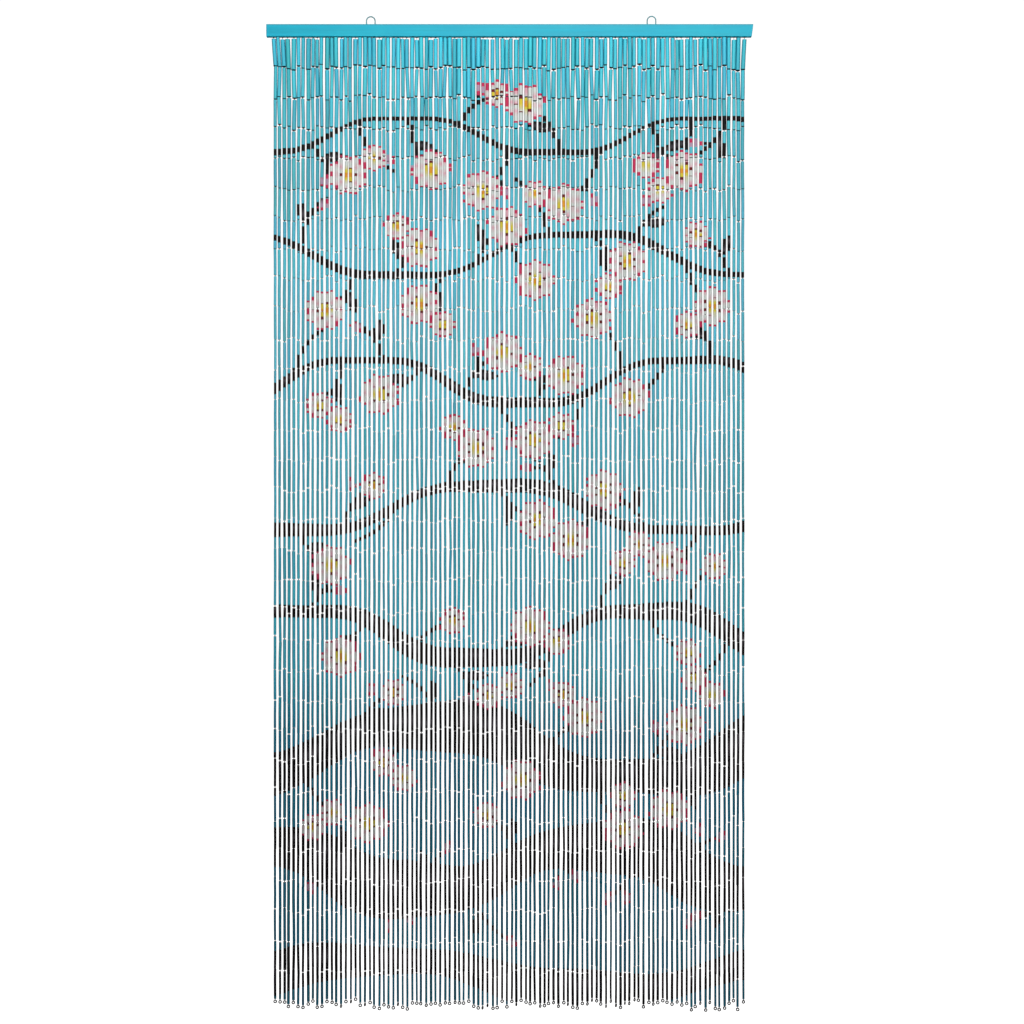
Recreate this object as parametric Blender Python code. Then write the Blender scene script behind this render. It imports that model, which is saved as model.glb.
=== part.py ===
"""Bamboo bead curtain for a doorway: metres, +Z up, the front looks along -Y.

A painted wooden rail hangs from two arched wire eyes. A hundred strands of bamboo
tubes hang in one row under it. Each strand thins towards its foot and ends in a wire
ring.
The origin is the centre of the rail's top face.
"""

import math
import random
from typing import NamedTuple

import bmesh
import bpy
from mathutils import Matrix, Vector


class Eye(NamedTuple):
    """A hanging eye: its place from the rail's centre, its turn and how far it stands up."""

    name: str
    place: float
    turn: float
    rise: float


class TubeSize(NamedTuple):
    """How thick the tubes of one row are. Rows count from 0 at the top."""

    row: int
    diameter: float


class Fan(NamedTuple):
    """How far one hook sits out from the line of the strand below it."""

    strand: int
    sideways: float


# Rail
RAIL_WIDTH = 1.0
RAIL_HEIGHT = 0.0255
RAIL_DEPTH = 0.012
RAIL_BEVEL = 0.0009
SAW_SKEW = 0.0033  # the right end is this much shorter at its bottom than at its top
FIT_GAP = 0.0003  # air between two pieces that meet

# Hanging eyes, each an arch of wire with both legs in the rail's top
EYE_OUTER = 0.0200
EYE_WIRE = 0.0024
EYE_STEPS = 20
LEG_DEPTH = 0.013
PILOT_SIDES = 16
EYES = (
    Eye("hanging_eye_left", -0.2857, math.radians(4), 0.0176),
    Eye("hanging_eye_right", 0.2912, math.radians(-8), 0.0183),
)

# Strands
STRANDS = 100
STRAND_PITCH = 0.00972
ROW_SHIFT = -0.0016  # the row of strands sits this far off the rail's centre
ROWS = 32
TUBE_ROW = 0.0619  # from one tube's top to the next one's
LINK_GAP = 0.0028  # wire that shows between two tubes
LINK_WIDTH = 0.0014
STRIP_TOP = -RAIL_HEIGHT - FIT_GAP
STRIP_HEIGHT = 0.0012
STRIP_DEPTH = 0.0030
ROOT_WIDTH = 0.0024
FIRST_TUBE_TOP = -0.0286
SHOULDER = 0.0004  # how quickly a strand widens from its wire to its first tube
RING_WIDTH = 0.0070
RING_DEPTH = 0.0020
FOOT_LINK = 0.0038  # from the last tube's end to the ring's top
SHAPED_ROWS = (1, 2, 9, 17, 25)  # a strand's thickness and sway follow these rows' tops
SEED = 7

# The tubes thin towards the feet.
THICKNESS = (
    TubeSize(0, 0.0079),
    TubeSize(1, 0.0074),
    TubeSize(3, 0.0068),
    TubeSize(8, 0.0061),
    TubeSize(12, 0.0055),
    TubeSize(16, 0.0050),
    TubeSize(24, 0.0047),
    TubeSize(31, 0.0045),
)

# How unevenly the strands hang.
THICKNESS_SPREAD = 0.10  # a tube is up to this share thicker or thinner
PLACE_SPREAD = 0.00030  # sideways, at the hook
SWAY = 0.0009  # sideways, lower down
DEPTH_SPREAD = 0.0005
TOP_DROP = 0.0042  # a first tube hangs up to this much lower than the highest one
STAGGER = 0.0030  # up or down, between the rows of neighbours
FOOT_STAGGER = 0.0090  # up or down, at the feet

# Tubes of the top rows press against each other in small clumps.
CLUMP_SIZES = (1, 2, 2, 3, 1, 2)
CLUMP_GAP = 0.0006
CLUMP_PULL = (0.45, 1.0, 0.85)  # at the first tubes' tops, their feet, the second row's feet

# The outermost first tubes lean outwards, up to hooks nearer the rail's ends.
FANS = (
    Fan(0, -0.0050),
    Fan(1, -0.0046),
    Fan(2, -0.0023),
    Fan(3, -0.0010),
    Fan(98, 0.0008),
    Fan(99, 0.0026),
)


def clear_scene():
    """Remove every object that the file came with."""
    for thing in list(bpy.data.objects):
        bpy.data.objects.remove(thing, do_unlink=True)


def material(name, colour, roughness, metallic=0.0):
    """Return a plain Principled material."""
    made = bpy.data.materials.new(name)
    made.use_nodes = True
    surface = made.node_tree.nodes["Principled BSDF"]
    surface.inputs["Base Color"].default_value = (*colour, 1.0)
    surface.inputs["Roughness"].default_value = roughness
    surface.inputs["Metallic"].default_value = metallic
    return made


def add_object(name, mesh, finish):
    """Link a mesh as an object with one material."""
    mesh.materials.append(finish)
    made = bpy.data.objects.new(name, mesh)
    bpy.context.collection.objects.link(made)
    return made


def finished(shape, name):
    """Turn a bmesh into a mesh whose faces point out."""
    bmesh.ops.recalc_face_normals(shape, faces=shape.faces)
    mesh = bpy.data.meshes.new(name)
    shape.to_mesh(mesh)
    shape.free()
    return mesh


def make_rail(paint):
    """Make the batten, with its top at z = 0 and its right end sawn askew."""
    shape = bmesh.new()
    bmesh.ops.create_cube(shape, size=1.0)
    bmesh.ops.scale(shape, vec=(RAIL_WIDTH, RAIL_DEPTH, RAIL_HEIGHT), verts=shape.verts)
    bmesh.ops.translate(shape, vec=(0, 0, -RAIL_HEIGHT / 2), verts=shape.verts)
    for corner in shape.verts:
        if corner.co.x > 0 and corner.co.z < -RAIL_HEIGHT / 2:
            corner.co.x -= SAW_SKEW
    rail = add_object("rail", finished(shape, "rail"), paint)
    edges = rail.modifiers.new("eased edges", "BEVEL")
    edges.width = RAIL_BEVEL
    edges.segments = 2
    for eye in EYES:
        holes = rail.modifiers.new("pilot holes " + eye.name, "BOOLEAN")
        holes.operation = "DIFFERENCE"
        holes.solver = "EXACT"
        holes.object = pilot_holes(eye)
    return rail


def pilot_holes(eye):
    """Make the cutter for the two holes that an eye's legs go into."""
    depth = LEG_DEPTH + FIT_GAP
    above = RAIL_BEVEL * 2
    across = (EYE_OUTER - EYE_WIRE) / 2
    shape = bmesh.new()
    for side in (-across, across):
        place = Vector((eye.place, 0, 0))
        place += side * Vector((math.cos(eye.turn), math.sin(eye.turn), 0))
        place.z = (above - depth) / 2
        bmesh.ops.create_cone(
            shape,
            cap_ends=True,
            segments=PILOT_SIDES,
            radius1=EYE_WIRE / 2 + FIT_GAP,
            radius2=EYE_WIRE / 2 + FIT_GAP,
            depth=depth + above,
            matrix=Matrix.Translation(place),
        )
    cutter = bpy.data.objects.new("holes for " + eye.name, finished(shape, "cutter"))
    bpy.context.collection.objects.link(cutter)
    cutter.hide_render = True
    cutter.display_type = "WIRE"
    return cutter


def eye_route(eye):
    """List the wire's centre points, up one leg, over the arch and down the other."""
    radius = (EYE_OUTER - EYE_WIRE) / 2
    middle = Vector((0, 0, eye.rise - EYE_WIRE / 2 - radius))
    points = [Vector((-radius, 0, -LEG_DEPTH))]
    for step in range(EYE_STEPS + 1):
        angle = math.pi * (1 - step / EYE_STEPS)
        points.append(middle + radius * Vector((math.cos(angle), 0, math.sin(angle))))
    points.append(Vector((radius, 0, -LEG_DEPTH)))
    return points


def make_eye(eye, metal):
    """Make one hanging eye as a bent wire."""
    points = eye_route(eye)
    curve = bpy.data.curves.new(eye.name, "CURVE")
    curve.dimensions = "3D"
    curve.bevel_depth = EYE_WIRE / 2
    curve.bevel_resolution = 2
    curve.use_fill_caps = True
    wire = curve.splines.new("POLY")
    wire.points.add(len(points) - 1)
    for point, where in zip(wire.points, points, strict=True):
        point.co = (*where, 1.0)
    curve.materials.append(metal)
    made = bpy.data.objects.new(eye.name, curve)
    made.location = (eye.place, 0, 0)
    made.rotation_euler = (0, 0, eye.turn)
    bpy.context.collection.objects.link(made)
    return made


def diameter_at(row):
    """Read a tube's diameter from the table, between its rows where needed."""
    for above, below in zip(THICKNESS, THICKNESS[1:], strict=False):
        if row <= below.row:
            share = (row - above.row) / (below.row - above.row)
            return above.diameter + (below.diameter - above.diameter) * share
    return THICKNESS[-1].diameter


def strand_habits(strand):
    """Return how one strand hangs: its place, sway, depth, staggers and thickness."""
    chance = random.Random(SEED * 1000 + strand)
    middle = (STRANDS - 1) / 2
    spread = chance.uniform(-1, 1) * PLACE_SPREAD
    return {
        "place": ROW_SHIFT + (strand - middle) * STRAND_PITCH + spread,
        "fan": sum(fan.sideways for fan in FANS if fan.strand == strand),
        "sway": chance.uniform(-1, 1) * SWAY,
        "phase": chance.uniform(0, math.tau),
        "depth": chance.uniform(-1, 1) * DEPTH_SPREAD,
        "drop": chance.uniform(0, 1) * TOP_DROP,
        "stagger": chance.uniform(-1, 1) * STAGGER,
        "foot": chance.uniform(-1, 1) * FOOT_STAGGER,
        "thickness": 1 + chance.uniform(-1, 1) * THICKNESS_SPREAD,
    }


def clump_places(habits, row):
    """List where the strands would hang if one row's clumps pressed together."""
    chance = random.Random(SEED + row)
    widths = [diameter_at(row) * habit["thickness"] for habit in habits]
    places = []
    while len(places) < STRANDS:
        first = len(places)
        group = range(first, min(first + chance.choice(CLUMP_SIZES), STRANDS))
        middle = sum(habits[strand]["place"] for strand in group) / len(group)
        total = sum(widths[strand] + CLUMP_GAP for strand in group) - CLUMP_GAP
        left = middle - total / 2
        for strand in group:
            places.append(left + widths[strand] / 2)
            left += widths[strand] + CLUMP_GAP
    return places


def strand_sections(habit, pressed):
    """List a strand's levels, from above its first tube to its ring's bottom.

    A level is its centre, half its width and half its depth. pressed holds where the
    clumps of the first two rows would put the strand.
    """
    levels = []
    pulls = [(place - habit["place"]) for place in (pressed[0], pressed[0], pressed[1])]
    pulls = [pull * share for pull, share in zip(pulls, CLUMP_PULL, strict=True)]

    def add(row, lower, width, depth=None):
        down = row / ROWS
        drift = (
            -habit["drop"] * (1 - min(row, 1))
            + habit["stagger"] * min(row, 1)
            + habit["foot"] * down
        )
        swing = habit["sway"] * down * math.cos(habit["phase"] + down * math.tau)
        pull = pulls[row] if row < len(pulls) else 0.0
        fan = habit["fan"] if row == 0 else 0.0
        place = habit["place"] + swing + pull + fan
        height = FIRST_TUBE_TOP - row * TUBE_ROW + drift - lower
        centre = Vector((place, habit["depth"], height))
        levels.append((centre, width / 2, (depth or width) / 2))

    def thick(row):
        return diameter_at(row) * habit["thickness"]

    add(0, -SHOULDER, LINK_WIDTH)
    add(0, 0, thick(0))
    add(1, -LINK_GAP, thick(0))
    add(1, -LINK_GAP / 2, LINK_WIDTH)
    for row in SHAPED_ROWS:
        add(row, 0, thick(row))
    add(ROWS, -LINK_GAP, thick(ROWS))
    add(ROWS, -LINK_GAP + FOOT_LINK, LINK_WIDTH)
    add(ROWS, -LINK_GAP + FOOT_LINK + RING_WIDTH / 2, RING_WIDTH, RING_DEPTH)
    add(ROWS, -LINK_GAP + FOOT_LINK + RING_WIDTH, RING_WIDTH / 3, RING_DEPTH)
    return levels


def strip_underside(shape, roots):
    """Make the strip's underside as a row of cells. Return those the strands grow from."""
    bottom = STRIP_TOP - STRIP_HEIGHT
    edges = [roots[0] - ROOT_WIDTH * 1.5]
    for root in roots:
        edges += [root - ROOT_WIDTH / 2, root + ROOT_WIDTH / 2]
    edges.append(roots[-1] + ROOT_WIDTH * 1.5)
    front = [shape.verts.new((x, -STRIP_DEPTH / 2, bottom)) for x in edges]
    back = [shape.verts.new((x, STRIP_DEPTH / 2, bottom)) for x in edges]
    cells = []
    for k in range(len(edges) - 1):
        cells.append(shape.faces.new((front[k], back[k], back[k + 1], front[k + 1])))
    return cells[1::2]


def add_strip_body(shape, cells):
    """Raise the strip's walls and top from its underside."""
    raised = bmesh.ops.extrude_face_region(shape, geom=cells, use_keep_orig=True)
    for item in raised["geom"]:
        if isinstance(item, bmesh.types.BMVert):
            item.co.z = STRIP_TOP


def move_to_section(face, centre, half_width, half_depth):
    """Move a four-sided face to one level of its strand."""
    old = face.calc_center_median()
    for corner in face.verts:
        across = math.copysign(half_width, corner.co.x - old.x)
        along = math.copysign(half_depth, corner.co.y - old.y)
        corner.co = centre + Vector((across, along, 0))


def make_strands(bamboo):
    """Grow every strand, level by level, out of the strip's underside."""
    habits = [strand_habits(strand) for strand in range(STRANDS)]
    pressed = list(zip(clump_places(habits, 0), clump_places(habits, 1), strict=True))
    sections = [strand_sections(*pair) for pair in zip(habits, pressed, strict=True)]
    shape = bmesh.new()
    tips = strip_underside(shape, [levels[0][0].x for levels in sections])
    add_strip_body(shape, list(shape.faces))
    for level in range(len(sections[0])):
        tips = bmesh.ops.extrude_discrete_faces(shape, faces=tips)["faces"]
        tips.sort(key=lambda tip: tip.calc_center_median().x)
        for strand, tip in enumerate(tips):
            move_to_section(tip, *sections[strand][level])
    return add_object("strands", finished(shape, "strands"), bamboo)


def main():
    clear_scene()
    paint = material("turquoise paint", (0.060, 0.520, 0.660), 0.45)
    metal = material("painted wire", (0.20, 0.42, 0.48), 0.35, 0.8)
    bamboo = material("painted bamboo", (0.050, 0.420, 0.540), 0.5)
    make_rail(paint)
    for eye in EYES:
        make_eye(eye, metal)
    make_strands(bamboo)


main()
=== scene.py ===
"""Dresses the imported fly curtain: metres, +Z up, the front looks along -Y.

The rail stays as it is and gets its paint. Every strand becomes a chain of hollow
bamboo tubes with wire loops between them, a hook above and a ring at its foot.
The two hanging eyes are bent again in smoother wire.
"""

import math
import random
from typing import NamedTuple

import bpy
import numpy as np
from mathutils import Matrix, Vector


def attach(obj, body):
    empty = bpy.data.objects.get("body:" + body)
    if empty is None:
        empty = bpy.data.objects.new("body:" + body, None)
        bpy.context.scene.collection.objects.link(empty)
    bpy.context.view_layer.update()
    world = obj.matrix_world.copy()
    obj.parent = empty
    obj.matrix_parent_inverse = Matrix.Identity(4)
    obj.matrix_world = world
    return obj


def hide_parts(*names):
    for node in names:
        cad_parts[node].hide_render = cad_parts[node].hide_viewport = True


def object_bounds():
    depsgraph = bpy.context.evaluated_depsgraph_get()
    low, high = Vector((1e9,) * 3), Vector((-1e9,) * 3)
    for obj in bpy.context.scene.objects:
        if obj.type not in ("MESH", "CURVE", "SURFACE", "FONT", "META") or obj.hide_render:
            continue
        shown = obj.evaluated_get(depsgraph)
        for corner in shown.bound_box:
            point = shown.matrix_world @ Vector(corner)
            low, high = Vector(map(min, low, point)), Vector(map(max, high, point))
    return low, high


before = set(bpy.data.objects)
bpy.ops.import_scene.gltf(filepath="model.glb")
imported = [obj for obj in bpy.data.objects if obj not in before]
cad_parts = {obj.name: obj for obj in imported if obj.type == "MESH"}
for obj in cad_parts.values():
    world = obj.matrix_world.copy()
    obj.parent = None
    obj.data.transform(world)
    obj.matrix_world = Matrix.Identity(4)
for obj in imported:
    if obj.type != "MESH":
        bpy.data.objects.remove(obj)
CAD_BOX = [list(corner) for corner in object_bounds()]


class Eye(NamedTuple):
    """A hanging eye: its place from the rail's centre, its turn and how far it stands up."""

    name: str
    place: float
    turn: float
    rise: float


class TubeSize(NamedTuple):
    """How thick the tubes of one row are. Rows count from 0 at the top."""

    row: int
    diameter: float


class Fan(NamedTuple):
    """How far one hook sits out from the line of the strand below it."""

    strand: int
    sideways: float


class Ground(NamedTuple):
    """The curtain's own paint at one height under the rail's top."""

    down: float
    red: float
    green: float
    blue: float


class Light(NamedTuple):
    """A soft square light: where it stands, where it points, its side and its watts."""

    name: str
    place: tuple
    target: tuple
    side: float
    power: float


class Garland(NamedTuple):
    """One wavy stem of the painted pattern, from side to side, at a height under the rail."""

    down: float
    swing: float
    wave: float
    phase: float
    thick: float


# Sizes that the solids have as well
RAIL_HEIGHT = 0.0255
EYE_OUTER = 0.0200
EYE_WIRE = 0.0024
EYE_SIDES = 16
EYE_STEPS = 36
LEG_DEPTH = 0.013
EYES = (
    Eye("hanging_eye_left", -0.2857, math.radians(4), 0.0176),
    Eye("hanging_eye_right", 0.2912, math.radians(-8), 0.0183),
)
STRANDS = 100
STRAND_PITCH = 0.00972
ROW_SHIFT = -0.0016
ROWS = 32
TUBE_ROW = 0.0619
LINK_GAP = 0.0028
FIRST_TUBE_TOP = -0.0286
RING_WIDTH = 0.0070
FOOT_LINK = 0.0038
SEED = 7
THICKNESS = (
    TubeSize(0, 0.0079),
    TubeSize(1, 0.0074),
    TubeSize(3, 0.0068),
    TubeSize(8, 0.0061),
    TubeSize(12, 0.0055),
    TubeSize(16, 0.0050),
    TubeSize(24, 0.0047),
    TubeSize(31, 0.0045),
)
THICKNESS_SPREAD = 0.10
PLACE_SPREAD = 0.00030
SWAY = 0.0009
DEPTH_SPREAD = 0.0005
TOP_DROP = 0.0042
STAGGER = 0.0030
FOOT_STAGGER = 0.0090
CLUMP_SIZES = (1, 2, 2, 3, 1, 2)
FANS = (
    Fan(0, -0.0050),
    Fan(1, -0.0046),
    Fan(2, -0.0023),
    Fan(3, -0.0010),
    Fan(98, 0.0008),
    Fan(99, 0.0026),
)

# How single tubes differ from their strand
TUBE_SPREAD = 0.09  # share of a tube's thickness
FULLER_ROWS = (0, 1, 4, 7, 15, 20, 28, 31)
FULLER = (1.12, 1.10, 1.05, 1.01, 1.03, 1.07, 1.10, 1.07)  # these rows against their solids
LEFT_FULLER = 0.12  # the strands at the left end are this much thicker still, further down
LEFT_STRANDS = 15
LEFT_ROW = 17
TAPER = 0.03
HOLE = 0.78  # a tube's bore as a share of its thickness
FIRST_RISE = 0.0018  # the first tubes reach this much nearer to the rail than their solids
FIRST_DROP = 0.0055  # how far the lowest of them hang down from there
FIRST_RARE = 1.8  # a higher power makes the low ones rarer
FADE_ROW = 10  # the next values are for the top, for this row and for the foot
JOINT_GAP = (0.0036, 0.0028, 0.0030)
JOINT_SHIFT = (0.0046, 0.0060, 0.0055)  # up or down, joint by joint
JOINT_SLIP = (0.00090, 0.00030, 0.00016)  # sideways, joint by joint
KINK = (0.0020, 0.0015, 0.0010)  # sideways, at a few joints
KINK_SHARE = 0.03
GAP_LEAST = 0.0006
GAP_RARE = 1.6  # a higher power makes the wide gaps rarer
LAST_GAP = 0.25  # the share of its gap that the last tube has over its ring
WANDER = 0.0009  # how far a strand drifts sideways by its foot
END_SLIP = 0.00020  # sideways, between two tubes that meet
BOW = 0.00025  # how far a tube's middle is off its straight line
TOUCH = 0.00008  # air between pressed tubes
CLUMP_LEVELS = (0, 1, 2, 3, 6, 12, 20)
CLUMP_PULL = (0.75, 0.90, 0.80, 0.50, 0.35, 0.15, 0.0)  # how hard neighbours press together
CLUMP_LOOSE = 0.2  # from the third joint on, groups press with this share of the pull or more
TOP_CLUMPS = (3, 2, 4, 1, 3, 4, 2)  # the first row's groups are larger
ZIGZAG = 0.0008  # pressed strands hang in front of and behind each other by this
ZIGZAG_LEVELS = 8
PUSHES = 60
TUBE_SIDES = 10
PIECES = 10  # the tubes are split into this many pieces, side by side
SHARP = math.radians(60)  # edges at least this sharp stay hard

# Wire
LINK_WIRE = 0.00042  # radius
LINK_LEG = 0.0030  # how far a loop's legs go up into its tube
LINK_HALF = 0.0011  # half a loop's width, or less in a thin tube
LINK_AIR = 0.00005  # between a loop and its tube
HAIRPIN = (-1, -1, -0.71, 0, 0.71, 1, 1)  # a loop's points, sideways
HAIRPIN_RISE = (1, 1, 0.29, 0, 0.29, 1, 1)
HOOK_TURN = 0.4  # how far a hook may turn from the front
HOOK_DROP = 0.0015  # from the rail's underside to a hook's bottom
HOOK_HALF = 0.0019
HOOK_WIRE = 0.0007
RING_WIRE = 0.00125
RING_OUTER = 0.0080  # a little wider than its solid
RING_TURN = 1.4  # how far a ring may turn from the front
RING_RARE = 3  # a higher power makes turned rings rarer
FOOT_GAP = 0.0007  # from the last tube to its ring
RING_STEPS = 18
RING_SIDES = 6
WIRE_SIDES = 4

# Paint, with painted shade on the tubes and the rail. Colours are linear.
GROUND = (
    Ground(0.03, 0.072, 0.645, 0.790),
    Ground(0.17, 0.096, 0.550, 0.665),
    Ground(0.34, 0.105, 0.490, 0.595),
    Ground(0.48, 0.110, 0.545, 0.685),
    Ground(0.63, 0.118, 0.510, 0.630),
    Ground(0.77, 0.092, 0.470, 0.590),
    Ground(1.06, 0.062, 0.405, 0.510),
    Ground(1.32, 0.048, 0.380, 0.490),
    Ground(1.47, 0.011, 0.152, 0.240),
    Ground(1.75, 0.011, 0.132, 0.200),
    Ground(2.04, 0.018, 0.124, 0.178),
)
INKS = {
    "stem": (0.002, 0.002, 0.003),
    "sheen": (0.090, 0.080, 0.095),
    "rim": (0.610, 0.035, 0.110),
    "blush": (0.780, 0.430, 0.500),
    "petal": (0.690, 0.745, 0.710),
    "yellow": (0.760, 0.640, 0.060),
    "orange": (0.800, 0.340, 0.030),
    "stamen": (0.160, 0.014, 0.018),
    "lilac": (0.480, 0.330, 0.460),
}
INK_NAMES = ("ground", *INKS)
SOFT = ("stem", "sheen", "petal", "blush", "lilac", "yellow")  # they blend where they meet
STRAND_TONE = 0.10  # a strand is lighter or darker than its neighbours by up to this share
TUBE_TONE = 0.10  # the same for a tube in its strand
TUBE_HUE = 0.05  # the same for each of a tube's red, green and blue
INK_TONE = 0.4  # the inks take this share of a tube's tone
INK_SHADE_FADE = 0.24  # painted shade: the inks grow darker by this share a metre down, for the light that falls off lower down
FLANK_SHADE_GROUND = (0.05, 0.66, 0.76)  # painted shade: the flanks, which face the next tubes, are painted in a deeper tone
FLANK_SHADE_TOP = (0.01, 0.24, 0.33)  # the same painted shade for the first row, where the tubes press together
FLANK_SHADE_ROWS = 8  # from here on down the painted shade on the flanks is all alike
FLANK_SHADE_TURN = (2.6, 9.0)  # how fast the painted shade deepens towards a flank, at the top and from there on
# painted shade: the inks keep this share of their colour on the flanks
FLANK_SHADE_INK = 0.6
CUT_SHADE = (0.002, 0.024, 0.034)  # painted shade on a tube's sawn ends, and on a narrow edge above the lower one
# how high the painted shade at a tube's foot reaches in the first row
CUT_SHADE_EDGE = 0.0014
CUT_SHADE_ROWS = 10  # the tubes further down have no painted shade above their feet
# painted shade: the bore is painted near black
BORE_SHADE = (0.001, 0.002, 0.003)
CELL = 0.00125  # the pattern is worked out at steps of this height
CELL_START = 0.001  # the first cell starts this far above the first tubes' solids
SOFT_BAND = 0.006  # a blended band longer than this has its full colour in its middle
RAIL_DEEP = (0.004, 0.400, 0.590, 1)
RAIL_PALE = (0.014, 0.490, 0.620, 1)
# painted shade for the rail's top edge
RAIL_TOP_SHADE = (0.075, 0.330, 0.400, 1)
RAIL_TOP_SHADE_DEPTHS = (0.0035, 0.0005)  # painted shade: the rail's paint grows darker and duller towards its top, from the first of these depths to the second
STEEL_DARK = (0.007, 0.006, 0.007, 1)
STEEL_BROWN = (0.032, 0.027, 0.026, 1)
COAT_DEEP = (0.050, 0.210, 0.240, 1)
COAT_PALE = (0.130, 0.320, 0.350, 1)

# Each tube and wire has a cell of its piece's map
MAP_PIXELS = 1024
MAP_MARGIN = (1.0, 2.0)  # pixels, across and down
TUBE_COLUMNS = 64
TUBE_OUTSIDE = (0.04, 0.78)  # where a tube's outside starts in its cell, and its share of it
TUBE_INSIDE = (0.86, 0.96, 1.0)  # its lower cut, its bore and its upper cut end here
WIRE_INSIDE = (0.1, 0.8)  # the same for a wire's length
WIRE_CAP = np.array(((0.3, 0.0), (0.7, 0.0), (0.7, 0.06), (0.3, 0.06)))
WIRE_CAP_DOWN = 0.94  # from the first cap to the last

# The painted pattern: wavy garlands with shoots, leaves, round flowers and buds
GARLANDS = (
    Garland(0.225, 0.040, 0.62, 0.10, 0.011),
    Garland(0.470, 0.048, 0.74, 0.55, 0.014),
    Garland(0.730, 0.050, 0.66, 0.20, 0.018),
    Garland(0.990, 0.052, 0.80, 0.80, 0.024),
    Garland(1.250, 0.055, 0.70, 0.35, 0.034),
    Garland(1.490, 0.058, 0.85, 0.95, 0.090),
    Garland(1.730, 0.050, 0.72, 0.50, 0.100),
    Garland(1.950, 0.034, 0.90, 0.05, 0.070),
)
GARLAND_RIPPLE = (0.14, 19)  # a smaller wave on it: its share of the swing and its pace
GARLAND_SWELL = 0.25  # a garland's thickness changes by this share along it
SWELL_PACE = (11, 9)  # along it, and from one garland to the next
SHEEN_LEAST = 0.009  # thinner garlands, by their half, have no sheen
SHEEN_PLACE = 0.3  # how far above the middle it lies, as a share of the half
SHEEN_HALF = 0.24
STREAKS = ((95, 60), (41, -50))  # the waves that break the sheen up, sideways and down
STREAK_LEVEL = 0.1
PATTERN_HALF = 0.455  # shoots start and end this near the curtain's middle
PATTERN_TOP = 0.094  # the first row of tubes has no pattern
SHOOT_EVERY = 0.092
SHOOT_FIRST = (0.1, 0.6)  # where the first may start, as a share of that
SHOOT_STEPS = (0.75, 1.25)  # how far apart the others may be
SHOOT_LAST = 1.80
SHOOT_REACH = (0.040, 0.085)
SHOOT_RISE = (0.055, 0.115)
SHOOT_BEND = (0.2, 0.7)  # the point that pulls its curve, as shares of its reach and rise
SHOOT_THICK = 0.0095
SHOOT_THIN = 0.7  # a shoot's tip and a twig's root are this share of it
SHOOT_POINTS = 12
LEAF_POINT = 4  # the point of the shoot that its leaf grows from
LEAF_SHARE = 0.7  # of the shoots have a leaf
LEAF_TURN = (0.5, 1.1)  # away from the shoot
LEAF_LONG = 0.052
LEAF_WIDE = 0.022
LEAF_RIB = 0.0016  # half its width
LEAF_RIB_ROOM = 0.005  # the rib shows where half the leaf is wider than this
TWIG_POINT = 6
TWIG_SHARE = 0.6
TWIG_TURN = (0.4, 1.0)
TWIG_LONG = 0.036
TWIG_THIN = 0.6
BUD_LONG = 0.0150
BUD_WIDE = 0.0095
BUD_CORE = 0.42
FLOWER_BIG = 0.0400
FLOWER_SMALL = 0.0270
FLOWER_RIM = 0.0042
FLOWER_LAST = 1.66  # shoots further down than this have leaves and buds alone
FLOWER_ROOM = 0.92  # how near two flowers may be, as a share of their radii
SECOND_SHARE = 0.45  # of the flowers have a small one beside them
SECOND_TURN = 1.4
SECOND_NEAR = 0.95
PETALS = 8
PETAL_WAVE = 0.09  # how far the petals stand out, as a share of the radius
FOLD_LEVEL = -0.55  # the blush between two petals is wider nearer to 0
FOLD_FROM = 0.42  # this and the next ones are shares of the radius
EYE_YELLOW = 0.34
EYE_ORANGE = 0.17
STAMENS = 6
STAMEN_LEVEL = 0.35  # a stamen is wider nearer to 0
STAMEN_PLACE = 0.41
STAMEN_HALF = 0.07

# Camera and light
PHOTO_SCALE = 0.0020555  # metres a pixel, at the curtain
PHOTO_PIXELS = 1024
CAMERA_AWAY = 3.6
CAMERA_RIGHT = 0.00452
CAMERA_HEIGHT = -1.0016
SENSOR = 36.0
LIGHTS = (
    Light("key", (0.3, -2.3, 0.9), (0, 0, -0.5), 1.2, 57),
    Light("fill", (-1.4, -2.8, -0.2), (0, 0, -0.9), 1.8, 12),
    Light("back", (0.3, 2.6, 0.6), (0, 0, -0.8), 1.8, 16),
)
ROOM_LIGHT = 0.11
ROOM_SEEN = 1.05  # the room's white as the camera sees it
WHITE = (1, 1, 1, 1)
FLOOR_SIDE = 9
FLOOR_DROP = 0.045  # from the lowest ring to the floor


def chance_array(key, low, high, shape):
    """Return an array of even random numbers that is the same on each run."""
    return np.random.default_rng((SEED, key)).uniform(low, high, shape)


def diameter_at(row):
    """Read a row's tube thickness from the table."""
    return float(
        np.interp(row, [size.row for size in THICKNESS], [size.diameter for size in THICKNESS])
    )


def fading(steps):
    """Return a value for each level of joints, from the top by FADE_ROW to the foot."""
    return np.interp(np.arange(ROWS + 1), (0, FADE_ROW, ROWS), steps)[None, :]


def strand_habits(strand):
    """Return how one strand hangs, with the same random numbers as its solid."""
    chance = random.Random(SEED * 1000 + strand)
    middle = (STRANDS - 1) / 2
    spread = chance.uniform(-1, 1) * PLACE_SPREAD
    return {
        "place": ROW_SHIFT + (strand - middle) * STRAND_PITCH + spread,
        "fan": sum(fan.sideways for fan in FANS if fan.strand == strand),
        "sway": chance.uniform(-1, 1) * SWAY,
        "phase": chance.uniform(0, math.tau),
        "depth": chance.uniform(-1, 1) * DEPTH_SPREAD,
        "drop": chance.uniform(0, 1) * TOP_DROP,
        "stagger": chance.uniform(-1, 1) * STAGGER,
        "foot": chance.uniform(-1, 1) * FOOT_STAGGER,
        "thickness": 1 + chance.uniform(-1, 1) * THICKNESS_SPREAD,
    }


def clumps(row, sizes):
    """List the groups of strands that press together in one row."""
    chance = random.Random(SEED + row)
    groups = []
    first = 0
    while first < STRANDS:
        last = min(first + chance.choice(sizes), STRANDS)
        groups.append(slice(first, last))
        first = last
    return groups


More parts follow.
